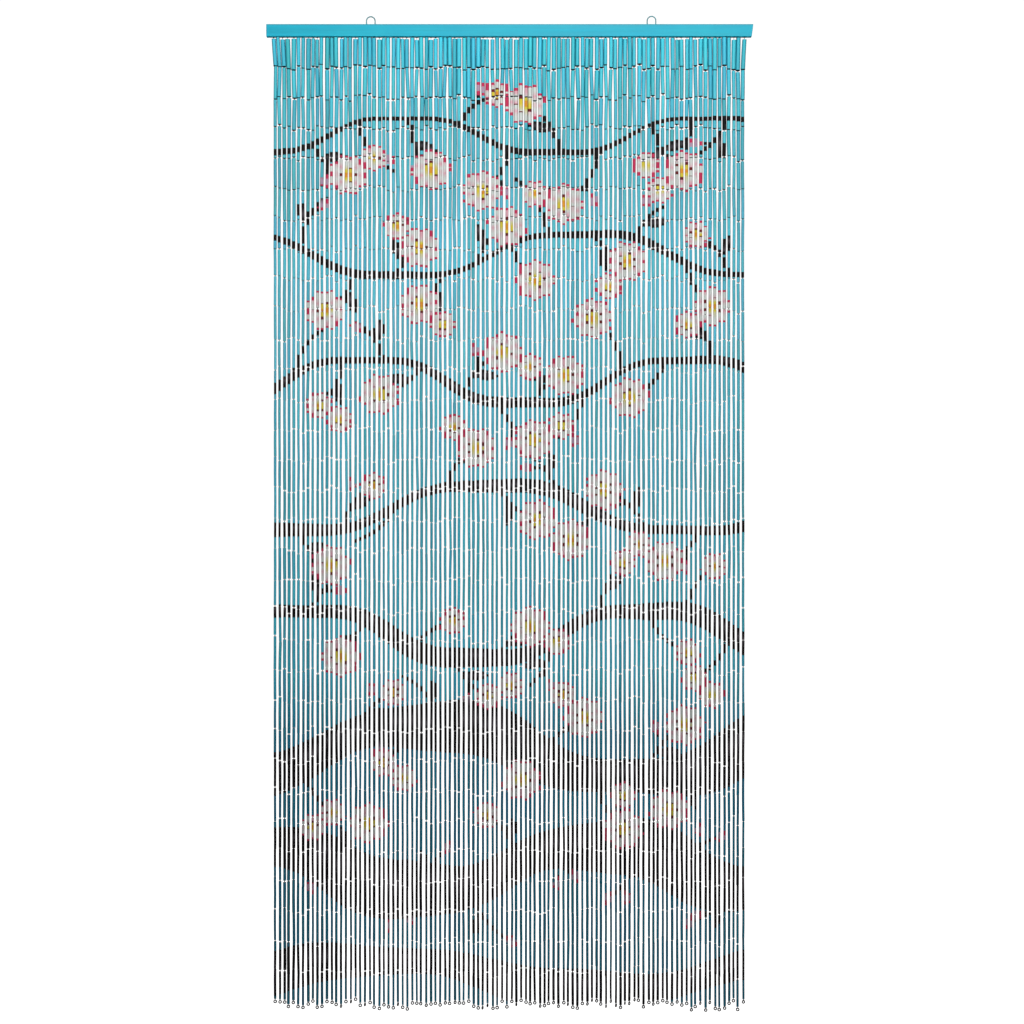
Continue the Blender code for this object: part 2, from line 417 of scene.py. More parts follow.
def rooms(widths, depths):
    """Return how near neighbours may hang, side by side, when one hangs behind the other."""
    apart = (widths[1:] + widths[:-1]) / 2 + TOUCH
    return np.sqrt(apart**2 - np.diff(depths) ** 2)


def pressed(places, room, groups):
    """Return where the strands hang if each group's tubes touch."""
    moved = places.copy()
    for group in groups:
        steps = np.concatenate(((0,), np.cumsum(room[group.start : group.stop - 1])))
        moved[group] = places[group].mean() + steps - steps.mean()
    return moved


def pushed_apart(places, room):
    """Move strands sideways until no two neighbours cut into each other."""
    for _ in range(PUSHES):
        short = np.maximum(room - np.diff(places), 0)
        places[:-1] -= short / 2
        places[1:] += short / 2
    return places


class Strands:
    """Where every joint and tube end of the curtain is. Arrays are strand by row."""

    def __init__(self):
        habits = [strand_habits(strand) for strand in range(STRANDS)]
        habit = {key: np.array([one[key] for one in habits])[:, None] for key in habits[0]}
        level = np.arange(ROWS + 1)[None, :]
        down = level / ROWS
        table = np.array([diameter_at(row) for row in range(ROWS)])[None, :]
        spread = chance_array(1, 1 - TUBE_SPREAD, 1 + TUBE_SPREAD, (STRANDS, ROWS))
        self.width = table * habit["thickness"] * spread
        self.width *= np.interp(np.arange(ROWS), FULLER_ROWS, FULLER)
        self.width[:LEFT_STRANDS, LEFT_ROW:] *= 1 + LEFT_FULLER
        self.x = habit["place"] + habit["sway"] * down * np.cos(habit["phase"] + down * math.tau)
        self.x = self.x + habit["fan"] * (level == 0)
        self.x = self.x + chance_array(9, -WANDER, WANDER, (STRANDS, 1)) * down
        self.y = habit["depth"] + chance_array(2, -1, 1, self.x.shape) * DEPTH_SPREAD
        side = (-1) ** np.arange(STRANDS)[:, None]
        self.y += ZIGZAG * side * np.maximum(1 - level / ZIGZAG_LEVELS, 0)
        self.pull_clumps()
        drift = -habit["drop"] * (level == 0) + habit["stagger"] * (level > 0)
        drift = drift + habit["foot"] * down
        shift = chance_array(3, -1, 1, self.x.shape) * fading(JOINT_SHIFT)
        shift *= (level > 0) & (level < ROWS)
        heights = FIRST_TUBE_TOP - level * TUBE_ROW + drift + shift
        wide = chance_array(4, 0, 1, (STRANDS, ROWS)) ** GAP_RARE
        gap = fading(JOINT_GAP)[:, 1:] * wide + GAP_LEAST
        gap[:, -1] = gap[:, -1] * LAST_GAP + FOOT_GAP
        self.top = heights[:, :-1]
        drop = chance_array(16, 0, 1, STRANDS) ** FIRST_RARE * FIRST_DROP
        self.top[:, 0] = FIRST_TUBE_TOP + FIRST_RISE - drop
        self.end = heights[:, 1:] + gap
        self.ring = heights[:, -1] + LINK_GAP - FOOT_LINK - RING_WIDTH + RING_OUTER / 2

    def widths_at(self, level):
        """Return how thick the strands are at a joint, above or below it."""
        above = self.width[:, max(level - 1, 0)]
        return np.maximum(above, self.width[:, min(level, ROWS - 1)])

    def pull_clumps(self):
        """Press neighbours together in the top rows and let a few joints kink."""
        slip = chance_array(5, -1, 1, self.x.shape) * fading(JOINT_SLIP)
        kinked = chance_array(6, 0, 1, self.x.shape) < KINK_SHARE
        slip += kinked * chance_array(7, -1, 1, self.x.shape) * fading(KINK)
        hold = chance_array(8, CLUMP_LOOSE, 1.0, STRANDS)
        for level in range(ROWS + 1):
            groups = clumps(0, TOP_CLUMPS) if level < 2 else clumps(1, CLUMP_SIZES)
            widths = self.widths_at(level)
            places = self.x[:, level]
            pull = np.full(STRANDS, float(np.interp(level, CLUMP_LEVELS, CLUMP_PULL)))
            if level > 2:
                for group in groups:
                    pull[group] *= hold[group.start]
            room = rooms(widths, self.y[:, level])
            places += (pressed(places, room, groups) - places) * pull
            places += slip[:, level] * (level > 0)
            self.x[:, level] = pushed_apart(places, room)


def cell_of(height):
    """Return the pattern's cell at a height."""
    return int((FIRST_TUBE_TOP + CELL_START - height) / CELL)


class Pattern:
    """The painted pattern, strand by strand and cell by cell down each strand."""

    def __init__(self, strands):
        cells = int((ROWS + 1) * TUBE_ROW / CELL)
        self.x = strands.x.mean(axis=1)[:, None]
        self.down = RAIL_HEIGHT + (np.arange(cells) * CELL)[None, :]
        self.ink = np.zeros((STRANDS, cells), int)
        self.flowers = []
        for number, garland in enumerate(GARLANDS):
            self.paint_shoots(garland, random.Random(SEED * 10 + number))
        for garland in GARLANDS:
            self.paint_garland(garland)
        for middle, radius, turn in self.flowers:
            self.flower(middle, radius, turn)

    def put(self, mask, name):
        self.ink[mask & (self.down > PATTERN_TOP)] = INK_NAMES.index(name)

    def garland_at(self, garland, place):
        """Return a garland's middle at one place along it or at many."""
        share = place / garland.wave + garland.phase
        size, pace = GARLAND_RIPPLE
        wave = np.sin(math.tau * share) + size * np.sin(pace * share)
        return garland.down + garland.swing * wave

    def paint_garland(self, garland):
        """Paint one wavy stem, with a grey sheen where it is thick."""
        ahead = self.garland_at(garland, self.x + CELL) - self.garland_at(garland, self.x - CELL)
        off = (self.down - self.garland_at(garland, self.x)) / np.hypot(1, ahead / (2 * CELL))
        along, between = SWELL_PACE
        swell = 1 + GARLAND_SWELL * np.sin(self.x * along + garland.phase * between)
        half = garland.thick * swell / 2
        self.put(np.abs(off) < half, "stem")
        streak = sum(np.sin(self.x * right + self.down * low) for right, low in STREAKS)
        lit = (np.abs(off + half * SHEEN_PLACE) < half * SHEEN_HALF) & (streak > STREAK_LEVEL)
        self.put(lit & (half > SHEEN_LEAST), "sheen")

    def paint_shoots(self, garland, chance):
        """Grow a garland's side shoots, up and down in turn, from the left to the right."""
        if garland.down > SHOOT_LAST:
            return
        place = -PATTERN_HALF + SHOOT_EVERY * chance.uniform(*SHOOT_FIRST)
        side = chance.choice((-1, 1))
        while place < PATTERN_HALF:
            start = np.array((place, self.garland_at(garland, place)))
            reach = chance.uniform(*SHOOT_REACH) * chance.choice((-1, 1, 1))
            if abs(place + reach) > PATTERN_HALF:
                reach = -reach
            rise = chance.uniform(*SHOOT_RISE)
            if start[1] - rise < PATTERN_TOP + FLOWER_BIG:
                side = 1
            bend = start + (reach * SHOOT_BEND[0], side * rise * SHOOT_BEND[1])
            tip = start + (reach, side * rise)
            share = np.linspace(0, 1, SHOOT_POINTS)[:, None]
            line = start * (1 - share) ** 2 + bend * 2 * share * (1 - share) + tip * share**2
            self.stroke(line, SHOOT_THICK, SHOOT_THICK * SHOOT_THIN, "stem")
            self.dress_shoot(line, chance)
            place += SHOOT_EVERY * chance.uniform(*SHOOT_STEPS)
            side = -side

    def dress_shoot(self, line, chance):
        """Give a shoot its leaf, a twig with a bud, and the flowers at its tip."""
        along = line[LEAF_POINT + 1] - line[LEAF_POINT]
        heading = math.atan2(along[1], along[0])
        side = chance.choice((-1, 1))
        if chance.random() < LEAF_SHARE:
            self.leaf(line[LEAF_POINT], heading + side * chance.uniform(*LEAF_TURN))
        if chance.random() < TWIG_SHARE:
            turn = heading - side * chance.uniform(*TWIG_TURN)
            root = line[TWIG_POINT]
            tip = root + TWIG_LONG * np.array((math.cos(turn), math.sin(turn)))
            thick, thin = SHOOT_THICK * SHOOT_THIN, SHOOT_THICK * TWIG_THIN
            self.stroke(np.array((root, tip)), thick, thin, "stem")
            self.bud(tip, turn)
        if line[-1][1] > FLOWER_LAST:
            self.bud(line[-1], heading)
            return
        radius = chance.choice((FLOWER_BIG, FLOWER_BIG, FLOWER_SMALL))
        self.place_flower(line[-1], radius, chance)
        if chance.random() < SECOND_SHARE:
            turn = heading + side * SECOND_TURN
            aside = np.array((math.cos(turn), math.sin(turn))) * (radius + FLOWER_SMALL)
            self.place_flower(line[-1] + aside * SECOND_NEAR, FLOWER_SMALL, chance)

    def place_flower(self, middle, radius, chance):
        """Keep a place for a flower, unless another one or the curtain's edge is too near."""
        turn = chance.uniform(0, math.tau)
        for other, size, _ in self.flowers:
            if math.dist(other, middle) < (radius + size) * FLOWER_ROOM:
                return
        if abs(middle[0]) < PATTERN_HALF and middle[1] > PATTERN_TOP + radius:
            self.flowers.append((middle, radius, turn))

    def stroke(self, line, thick, thin, name):
        """Paint a brush stroke along a line of points."""
        best = np.full(self.ink.shape, np.inf)
        for k, (start, end) in enumerate(zip(line, line[1:], strict=False)):
            along = end - start
            share = (self.x - start[0]) * along[0] + (self.down - start[1]) * along[1]
            share = np.clip(share / (along @ along), 0, 1)
            apart = np.hypot(
                self.x - start[0] - share * along[0], self.down - start[1] - share * along[1]
            )
            half = (thick + (thin - thick) * k / len(line)) / 2
            best = np.minimum(best, apart / half)
        self.put(best < 1, name)

    def around(self, middle, turn):
        """Return how far each cell is from a point, along a direction and across it."""
        right = self.x - middle[0]
        low = self.down - middle[1]
        along = right * math.cos(turn) + low * math.sin(turn)
        across = low * math.cos(turn) - right * math.sin(turn)
        return along, across

    def bud(self, middle, turn):
        """Paint a closed bud: a lilac core between two pink ends."""
        along, across = self.around(middle, turn)
        reach = np.hypot(along / BUD_LONG, across / BUD_WIDE)
        self.put(reach < 1, "rim")
        self.put((reach < 1) & (np.abs(along) < BUD_LONG * BUD_CORE), "lilac")

    def leaf(self, base, turn):
        """Paint a dark pointed leaf with a pale rib."""
        along, across = self.around(base, turn)
        share = along / LEAF_LONG
        half = LEAF_WIDE * 2 * share * (1 - share)
        inside = (share > 0) & (share < 1)
        self.put((np.abs(across) < half) & inside, "stem")
        self.put((np.abs(across) < LEAF_RIB) & (half > LEAF_RIB_ROOM) & inside, "sheen")

    def flower(self, middle, radius, turn):
        """Paint a flower of blunt petals with a dotted eye."""
        right = self.x - middle[0]
        low = self.down - middle[1]
        reach = np.hypot(right, low)
        angle = np.arctan2(low, right) + turn
        edge = radius * (1 + PETAL_WAVE * np.cos(PETALS * angle))
        self.put(reach < edge, "rim")
        self.put(reach < edge - FLOWER_RIM, "petal")
        fold = (np.cos(PETALS * angle) < FOLD_LEVEL) & (reach > radius * FOLD_FROM)
        self.put(fold & (reach < edge - FLOWER_RIM), "blush")
        self.put(reach < radius * EYE_YELLOW, "yellow")
        self.put(reach < radius * EYE_ORANGE, "orange")
        dots = np.abs(reach - radius * STAMEN_PLACE) < radius * STAMEN_HALF
        self.put(dots & (np.cos(STAMENS * angle + 1) > STAMEN_LEVEL), "stamen")


def ground_at(down):
    """Return the curtain's own paint at a height under the rail's top."""
    steps = [ground.down for ground in GROUND]
    return np.array([np.interp(down, steps, [ground[k] for ground in GROUND]) for k in (1, 2, 3)])


def ink_colour(name, height, tone):
    """Return one ink at a height, for a tube's front and for its flanks, which get painted shade.
    The inks other than the ground also get painted shade lower down.

    tone makes a tube lighter or darker than its row.
    """
    if name == "ground":
        colour = ground_at(-height) * tone
        # painted shade on the flanks, deepest in the first row
        share = min(-height / (TUBE_ROW * FLANK_SHADE_ROWS), 1)
        shade_tone = np.array(FLANK_SHADE_TOP) * (1 - share) + np.array(FLANK_SHADE_GROUND) * share
        return np.array((colour, colour * shade_tone))
    colour = np.array(INKS[name]) * (1 - INK_TONE + INK_TONE * tone.mean())
    # painted shade: the inks grow darker lower down
    colour *= 1 + INK_SHADE_FADE * height
    # painted shade on the flanks
    return np.array((colour, colour * FLANK_SHADE_INK))


def tube_bands(cells, top, end):
    """Cut a tube into bands of one ink: its name and where it starts and stops."""
    first = cell_of(top)
    last = max(cell_of(end), first + 1)
    names = [INK_NAMES[ink] for ink in cells[first:last]]
    bands = [[names[0], top, None]]
    for step, name in enumerate(names[1:], start=1):
        height = top + (end - top) * step / len(names)
        if name != bands[-1][0]:
            bands[-1][2] = height
            bands.append([name, height, None])
    bands[-1][2] = end
    return bands


def shaded_foot(rings, row):
    """Paint shade on a narrow band at a tube's foot, narrower row by row, in the top rows only.
    """
    height, above, _ = rings[-1]
    height += CUT_SHADE_EDGE * (1 - row / CUT_SHADE_ROWS)
    if row >= CUT_SHADE_ROWS or height > rings[-2][0]:
        return rings
    dark = np.array((CUT_SHADE, CUT_SHADE))
    return [*rings[:-1], (height, above, dark), (rings[-1][0], dark, dark)]


def band_rings(bands, tone):
    """List a tube's rings: height, colour just above and colour just below."""
    rings = []
    for k, (name, start, stop) in enumerate(bands):
        own = ink_colour(name, start, tone)
        before = bands[k - 1][0] if k else None
        if before in SOFT and name in SOFT:
            mixed = (own + ink_colour(before, start, tone)) / 2
            rings.append((start, mixed, mixed))
        else:
            above = ink_colour(before, start, tone) if before else own
            rings.append((start, above, own))
        if len(bands) == 1 or (name in SOFT and start - stop > SOFT_BAND):
            middle = (start + stop) / 2
            inner = ink_colour(name, middle, tone)
            rings.append((middle, inner, inner))
    last = ink_colour(bands[-1][0], bands[-1][2], tone)
    rings.append((bands[-1][2], last, last))
    return rings


class Batch:
    """Quads gathered for one joined mesh, with their map and their colours."""

    def __init__(self):
        self.points = []
        self.faces = []
        self.map = []
        self.paint = []
        self.count = 0

    def add(self, points, faces, places, paint=None):
        self.points.append(points)
        self.faces.append(faces + self.count)
        self.map.append(places)
        if paint is not None:
            self.paint.append(paint)
        self.count += len(points)

    def make(self, name):
        """Join everything into one mesh object."""
        points = np.concatenate(self.points)
        faces = np.concatenate(self.faces)
        mesh = bpy.data.meshes.new(name)
        mesh.vertices.add(len(points))
        mesh.vertices.foreach_set("co", points.astype(np.float32).ravel())
        mesh.loops.add(faces.size)
        mesh.loops.foreach_set("vertex_index", faces.astype(np.int32).ravel())
        mesh.polygons.add(len(faces))
        mesh.polygons.foreach_set("loop_start", np.arange(0, faces.size, 4, dtype=np.int32))
        mesh.update(calc_edges=True)
        layer = mesh.uv_layers.new(name="OFBake")
        layer.uv.foreach_set("vector", np.concatenate(self.map).astype(np.float32).ravel())
        # the tubes' colours: their pattern, with painted shade on flanks, feet, sawn ends and
        # bores
        if self.paint:
            colours = np.concatenate(self.paint).reshape(-1, 3)
            colours = np.hstack((colours, np.ones((len(colours), 1))))
            layer = mesh.color_attributes.new("paint", "FLOAT_COLOR", "CORNER")
            layer.data.foreach_set("color", colours.astype(np.float32).ravel())
        mesh.shade_smooth()
        mesh.set_sharp_from_angle(angle=SHARP)
        made = bpy.data.objects.new(name, mesh)
        bpy.context.collection.objects.link(made)
        return made


def map_cell(number, columns, rows):
    """Return the corner and size of one cell of a map, less a narrow margin."""
    size = np.array((1 / columns, 1 / rows))
    corner = np.array((number % columns, number // columns)) * size
    margin = np.array(MAP_MARGIN) / MAP_PIXELS
    return corner + margin, size - 2 * margin


def grid_faces(rings, sides, closed):
    """List the quads between rings of points, and their ring and side numbers."""
    ring, side = np.meshgrid(np.arange(rings if closed else rings - 1), np.arange(sides))
    ring, side = ring.ravel(), side.ravel()
    rings_on = (ring, ring + 1, ring + 1, ring)
    sides_on = (side, side, side + 1, side + 1)
    faces = [at % rings * sides + on % sides for at, on in zip(rings_on, sides_on, strict=True)]
    return np.stack(faces, 1), np.stack(rings_on, 1), np.stack(sides_on, 1)


def add_tube(batch, start, end, radii, bow, rings, cell):
    """Add one hollow tube. rings are its painted outside, from its top down."""
    heights = np.array([ring[0] for ring in rings])
    share = (start[2] - heights) / (start[2] - end[2])
    middle = start[None, :] + (end - start)[None, :] * share[:, None]
    middle[:, :2] += bow * np.sin(math.pi * share)[:, None]
    radius = radii[0] + (radii[1] - radii[0]) * share
    middle = np.vstack((middle, middle[-1], middle[0]))
    radius = np.append(radius, (radii[1] * HOLE, radii[0] * HOLE))
    turn = math.tau * np.arange(TUBE_SIDES) / TUBE_SIDES
    circle = np.stack((np.cos(turn), np.sin(turn), 0 * turn), 1)
    points = (middle[:, None, :] + radius[:, None, None] * circle[None, :, :]).reshape(-1, 3)
    count = len(radius)
    faces, rings_on, sides_on = grid_faces(count, TUBE_SIDES, True)
    corner, size = cell
    down = np.concatenate((TUBE_OUTSIDE[0] + TUBE_OUTSIDE[1] * share, TUBE_INSIDE))
    places = np.stack((sides_on / TUBE_SIDES, down[rings_on]), 2)
    above = np.array([ring[1] for ring in rings])
    below = np.array([ring[2] for ring in rings])
    # painted shade: the sawn ends and the bore are painted dark
    inside = np.array((CUT_SHADE, BORE_SHADE, CUT_SHADE))[:, None].repeat(2, 1)
    starts = np.concatenate((below[:-1], inside))
    ends = np.concatenate((above[1:], inside))
    ring = rings_on[:, 0]
    paint = np.stack((starts[ring], ends[ring], ends[ring], starts[ring]), 1)
    # painted shade: the sides that face the next strands take the flank colour
    steep = np.interp(-start[2], (0, TUBE_ROW * FLANK_SHADE_ROWS), FLANK_SHADE_TURN)
    flank_shade = np.abs(np.cos(turn))[sides_on % TUBE_SIDES, None] ** steep
    paint = paint[:, :, 0] * (1 - flank_shade) + paint[:, :, 1] * flank_shade
    batch.add(points, faces, corner + places * size, paint)


def make_tubes(strands, finish):
    """Thread every tube onto its strand, in side by side pieces."""
    pattern = Pattern(strands)
    slip = chance_array(10, -END_SLIP, END_SLIP, (STRANDS, ROWS, 2, 2))
    bow = chance_array(11, -BOW, BOW, (STRANDS, ROWS, 2))
    taper = chance_array(12, 1 - TAPER, 1 + TAPER, (STRANDS, ROWS, 2))
    tone = 1 + chance_array(13, -STRAND_TONE, STRAND_TONE, (STRANDS, 1, 1))
    tone = tone + chance_array(14, -TUBE_TONE, TUBE_TONE, (STRANDS, ROWS, 1))
    tone = tone + chance_array(15, -TUBE_HUE, TUBE_HUE, (STRANDS, ROWS, 3))
    each = STRANDS // PIECES
    for piece in range(PIECES):
        batch = Batch()
        for number in range(each * ROWS):
            strand, row = piece * each + number // ROWS, number % ROWS
            where = (strands.x[strand], strands.y[strand])
            start = np.array([line[row] for line in where] + [strands.top[strand, row]])
            end = np.array([line[row + 1] for line in where] + [strands.end[strand, row]])
            start[:2] += slip[strand, row, 0]
            end[:2] += slip[strand, row, 1]
            bands = tube_bands(pattern.ink[strand], start[2], end[2])
            rings = shaded_foot(band_rings(bands, tone[strand, row]), row)
            radii = strands.width[strand, row] / 2 * taper[strand, row]
            cell = map_cell(number, TUBE_COLUMNS, each * ROWS // TUBE_COLUMNS)
            add_tube(batch, start, end, radii, bow[strand, row], rings, cell)
        tubes = batch.make(f"tubes_{piece + 1:02d}")
        dress(tubes, finish, "painted_bamboo", "strands")


def sweep(batch, paths, planes, radius, sides, closed, columns):
    """Add wires. paths holds their middle points, planes what each bends square to."""
    ahead = np.roll(paths, -1, 1) - np.roll(paths, 1, 1)
    if not closed:
        ahead[:, 0] = paths[:, 1] - paths[:, 0]
        ahead[:, -1] = paths[:, -1] - paths[:, -2]
    ahead /= np.linalg.norm(ahead, axis=2, keepdims=True)
    across = np.broadcast_to(planes[:, None, :], ahead.shape)
    out = np.cross(ahead, across)
    turn = math.tau * (np.arange(sides) + 0.5) / sides
    spokes = np.cos(turn)[:, None] * out[:, :, None] + np.sin(turn)[:, None] * across[:, :, None]
    points = paths[:, :, None] + radius * spokes
    count = paths.shape[1]
    faces, rings_on, sides_on = grid_faces(count, sides, closed)
    down = WIRE_INSIDE[0] + WIRE_INSIDE[1] * rings_on / count
    places = np.stack((sides_on / sides, down), 2)
    if not closed:
        cap = np.arange(4)
        faces = np.vstack((faces, cap, (count - 1) * sides + cap[::-1]))
        places = np.concatenate((places, [WIRE_CAP], [WIRE_CAP + (0, WIRE_CAP_DOWN)]))
    for number, one in enumerate(points):
        corner, size = map_cell(number, columns, columns)
        batch.add(one.reshape(-1, 3), faces, corner + places * size)


def loops(x, y, bend, legs, half, turn):
    """Return hairpins of wire. bend is the height of their bend, legs that of their ends."""
    way = np.sign(legs - bend)
    right = np.array(HAIRPIN)[None, :] * half[:, None]
    rise = np.array(HAIRPIN_RISE)[None, :] * half[:, None]
    height = bend[:, None] + way[:, None] * rise
    height[:, 0] = legs
    height[:, -1] = legs
    across = np.stack((np.cos(turn), np.sin(turn)), 1)
    paths = np.empty((len(x), len(HAIRPIN), 3))
    paths[:, :, 0] = x[:, None] + right * across[:, 0:1]
    paths[:, :, 1] = y[:, None] + right * across[:, 1:2]
    paths[:, :, 2] = height
    planes = np.stack((-np.sin(turn), np.cos(turn), 0 * turn), 1)
    return paths, planes


def make_links(strands, finish):
    """Hook each tube to the next with two loops, and the last one to its ring."""
    bore = strands.width / 2 * HOLE - LINK_WIRE - LINK_AIR
    half = np.minimum(bore, LINK_HALF)
    turn = chance_array(20, 0, math.tau, (STRANDS, ROWS + 1))
    middle = (strands.end[:, :-1] + strands.top[:, 1:]) / 2
    hook = np.full((STRANDS, 1), -RAIL_HEIGHT - HOOK_DROP + HOOK_WIRE)
    ring = strands.ring[:, None] + RING_OUTER / 2 - 2 * RING_WIRE
    upper = np.hstack((hook + LINK_WIRE, middle + LINK_WIRE))
    lower = np.hstack((middle - LINK_WIRE, ring - LINK_WIRE))
    turn[:, 0] = math.pi / 2
    turn[:, -1] = (turn[:, -1] / math.tau) ** RING_RARE * RING_TURN
    across = turn[:, 1:] + math.pi / 2
    along = turn[:, :-1]
    above = (strands.x[:, :-1], strands.y[:, :-1], upper, strands.top - LINK_LEG, half, along)
    below = (strands.x[:, 1:], strands.y[:, 1:], lower, strands.end + LINK_LEG, half, across)
    sides = {"left": slice(0, STRANDS // 2), "right": slice(STRANDS // 2, STRANDS)}
    for side, part in sides.items():
        found = [loops(*(values[part].ravel() for values in one)) for one in (above, below)]
        paths = np.concatenate([one[0] for one in found])
        planes = np.concatenate([one[1] for one in found])
        batch = Batch()
        columns = math.ceil(math.sqrt(len(paths)))
        sweep(batch, paths, planes, LINK_WIRE, WIRE_SIDES, False, columns)
        dress(batch.make(f"wire_links_{side}"), finish, "eye_wire", "strands")
    return turn[:, -1]


def make_hooks(strands, finish):
    """Push a wire staple up into the rail's underside over each strand."""
    flat = np.ones(STRANDS)
    bend = (-RAIL_HEIGHT - HOOK_DROP) * flat
    legs = (-RAIL_HEIGHT + LINK_LEG) * flat
    turn = chance_array(21, -HOOK_TURN, HOOK_TURN, STRANDS)
    paths, planes = loops(strands.x[:, 0], strands.y[:, 0], bend, legs, HOOK_HALF * flat, turn)
    batch = Batch()
    sweep(batch, paths, planes, HOOK_WIRE, WIRE_SIDES, False, STRANDS // 10)
    dress(batch.make("rail_hooks"), finish, "eye_wire", "strands")


def make_rings(strands, turn, finish):
    """Hang a wire ring at the foot of each strand."""
    radius = RING_OUTER / 2 - RING_WIRE
    step = math.tau * np.arange(RING_STEPS) / RING_STEPS
    across = np.stack((np.cos(turn), np.sin(turn)), 1)
    paths = np.empty((STRANDS, RING_STEPS, 3))
    paths[:, :, :2] = np.cos(step)[None, :, None] * radius * across[:, None, :]
    paths[:, :, 0] += strands.x[:, -1:]
    paths[:, :, 1] += strands.y[:, -1:]
    paths[:, :, 2] = strands.ring[:, None] + np.sin(step)[None, :] * radius
    planes = np.stack((-np.sin(turn), np.cos(turn), 0 * turn), 1)
    batch = Batch()
    sweep(batch, paths, planes, RING_WIRE, RING_SIDES, True, STRANDS // 10)
    dress(batch.make("foot_rings"), finish, "eye_wire", "strands")


def dress(piece, finish, slot, *nodes):
    """Give a piece its material, hang it from the root body and hide the parts that it stands
    for.
    """
    piece.data.materials.clear()
    piece.data.materials.append(finish)
    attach(piece, "root")
    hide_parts(*nodes)


def bend_eye(eye, finish):
    """Draw a wire up out of its hole, spin it over into an arch and lead it down again."""
    radius = (EYE_OUTER - EYE_WIRE) / 2
    middle = Vector((0, 0, eye.rise - EYE_WIRE / 2 - radius))
    leg = Vector((0, 0, middle.z + LEG_DEPTH))
    bpy.ops.object.select_all(action="DESELECT")
    bpy.ops.mesh.primitive_circle_add(
        vertices=EYE_SIDES, radius=EYE_WIRE / 2, location=(-radius, 0, -LEG_DEPTH)
    )
    made = bpy.context.object
    bpy.ops.object.transform_apply(location=True, rotation=True, scale=True)
    bpy.ops.object.mode_set(mode="EDIT")
    bpy.ops.mesh.select_all(action="SELECT")
    bpy.ops.mesh.extrude_region_move(TRANSFORM_OT_translate={"value": leg})
    bpy.ops.mesh.spin(steps=EYE_STEPS, angle=math.pi, center=middle, axis=(0, -1, 0))
    bpy.ops.mesh.extrude_region_move(TRANSFORM_OT_translate={"value": -leg})
    bpy.ops.mesh.select_all(action="SELECT")
    bpy.ops.mesh.remove_doubles(threshold=0.00001)
    bpy.ops.mesh.fill_holes(sides=0)
    bpy.ops.mesh.normals_make_consistent(inside=False)
    bpy.ops.object.mode_set(mode="OBJECT")
    made.location = (eye.place, 0, 0)
    made.rotation_euler = (0, 0, eye.turn)
    bpy.ops.object.transform_apply(location=True, rotation=True, scale=True)
    bpy.ops.object.shade_smooth_by_angle(angle=math.radians(50))
    made.name = "wire_" + eye.name
    dress(made, finish, "eye_wire", eye.name)


class Signal:
    """A value in a material's nodes that takes part in plain sums."""

    def __init__(self, finish, socket):
        self.finish = finish
        self.socket = socket

    def sum(self, operation, first, second):
        return self.finish.add("ShaderNodeMath", {0: first, 1: second}, operation=operation)

    def __add__(self, other):
        return self.sum("ADD", self, other)

    __radd__ = __add__

    def __sub__(self, other):
        return self.sum("SUBTRACT", self, other)

    def __rsub__(self, other):
        return self.sum("SUBTRACT", other, self)

    def __mul__(self, other):
        return self.sum("MULTIPLY", self, other)

    __rmul__ = __mul__


class Finish:
    """A node material under construction."""

    def __init__(self, name):
        self.material = bpy.data.materials.new(name)
        self.material.use_nodes = True
        self.tree = self.material.node_tree
        self.surface = self.tree.nodes["Principled BSDF"]

    def add(self, kind, sockets, output=0, **settings):
        """Add a node: its settings first, then the values or links of its sockets."""
        node = self.tree.nodes.new(kind)
        for key, value in settings.items():
            setattr(node, key, value)
        for key, value in sockets.items():
            if isinstance(value, Signal):
                self.tree.links.new(value.socket, node.inputs[key])
            else:
                node.inputs[key].default_value = value
        return Signal(self, node.outputs[output])

    def noise(self, stretch, detail=2.0):
        """Return noise over the object, stretched by a scale for each axis."""
        place = self.add("ShaderNodeTexCoord", {}, output="Object")
        place = self.add("ShaderNodeMapping", {"Vector": place, "Scale": stretch})
        return self.add(
            "ShaderNodeTexNoise", {"Vector": place, "Scale": 1.0, "Detail": detail}, output="Fac"
        )

    def tinted(self, colour, amount):
        """Return a colour made lighter or darker by an amount round 1."""
        return self.add(
            "ShaderNodeVectorMath", {0: colour, "Scale": amount}, operation="SCALE"
        )

    def mixed(self, share, first, second):
        """Return two colours mixed by a share."""
        return self.add(
            "ShaderNodeMix", {0: share, 6: first, 7: second}, output=2, data_type="RGBA"
        )

    def set(self, **values):
        """Set or link the surface's sockets by their names."""
        for key, value in values.items():
            socket = self.surface.inputs[key.replace("_", " ")]
            if isinstance(value, Signal):
                self.tree.links.new(value.socket, socket)
            else:
                socket.default_value = value

    def bump(self, height, strength, distance):
        """Return a bumpy normal."""
        return self.add(
            "ShaderNodeBump",
            {"Height": height, "Strength": strength, "Distance": distance},
            output="Normal",
        )


def bamboo_finish():
    """Satin paint brushed over bamboo, with fibres that run along the tubes."""
    finish = Finish("painted bamboo")
    # the paint colours are the pattern, with painted shade on the flanks, feet, sawn ends and
    # bores
    paint = finish.add("ShaderNodeAttribute", {}, output="Color", attribute_name="paint")
    fibres = finish.noise((900, 900, 22), 3.0)
    brush = finish.noise((330, 330, 9), 2.0)
    patches = finish.noise((70, 70, 45), 2.0)
    shade = 0.66 + fibres * 0.20 + brush * 0.48
    finish.set(
        Base_Color=finish.tinted(paint, shade),
        Roughness=0.40 + patches * 0.22 + fibres * 0.10,
        Normal=finish.bump(fibres * 0.6 + brush, 0.35, 0.0004),
        Specular_IOR_Level=0.15,
    )
    return finish.material


def steel_finish():
    """Dull grey wire, browner in places."""
    finish = Finish("link steel")
    stain = finish.noise((300, 300, 300), 2.0)
    finish.set(
        Base_Color=finish.mixed(stain, STEEL_DARK, STEEL_BROWN),
        Roughness=0.48 + stain * 0.2,
        Metallic=0.25,
    )
    return finish.material


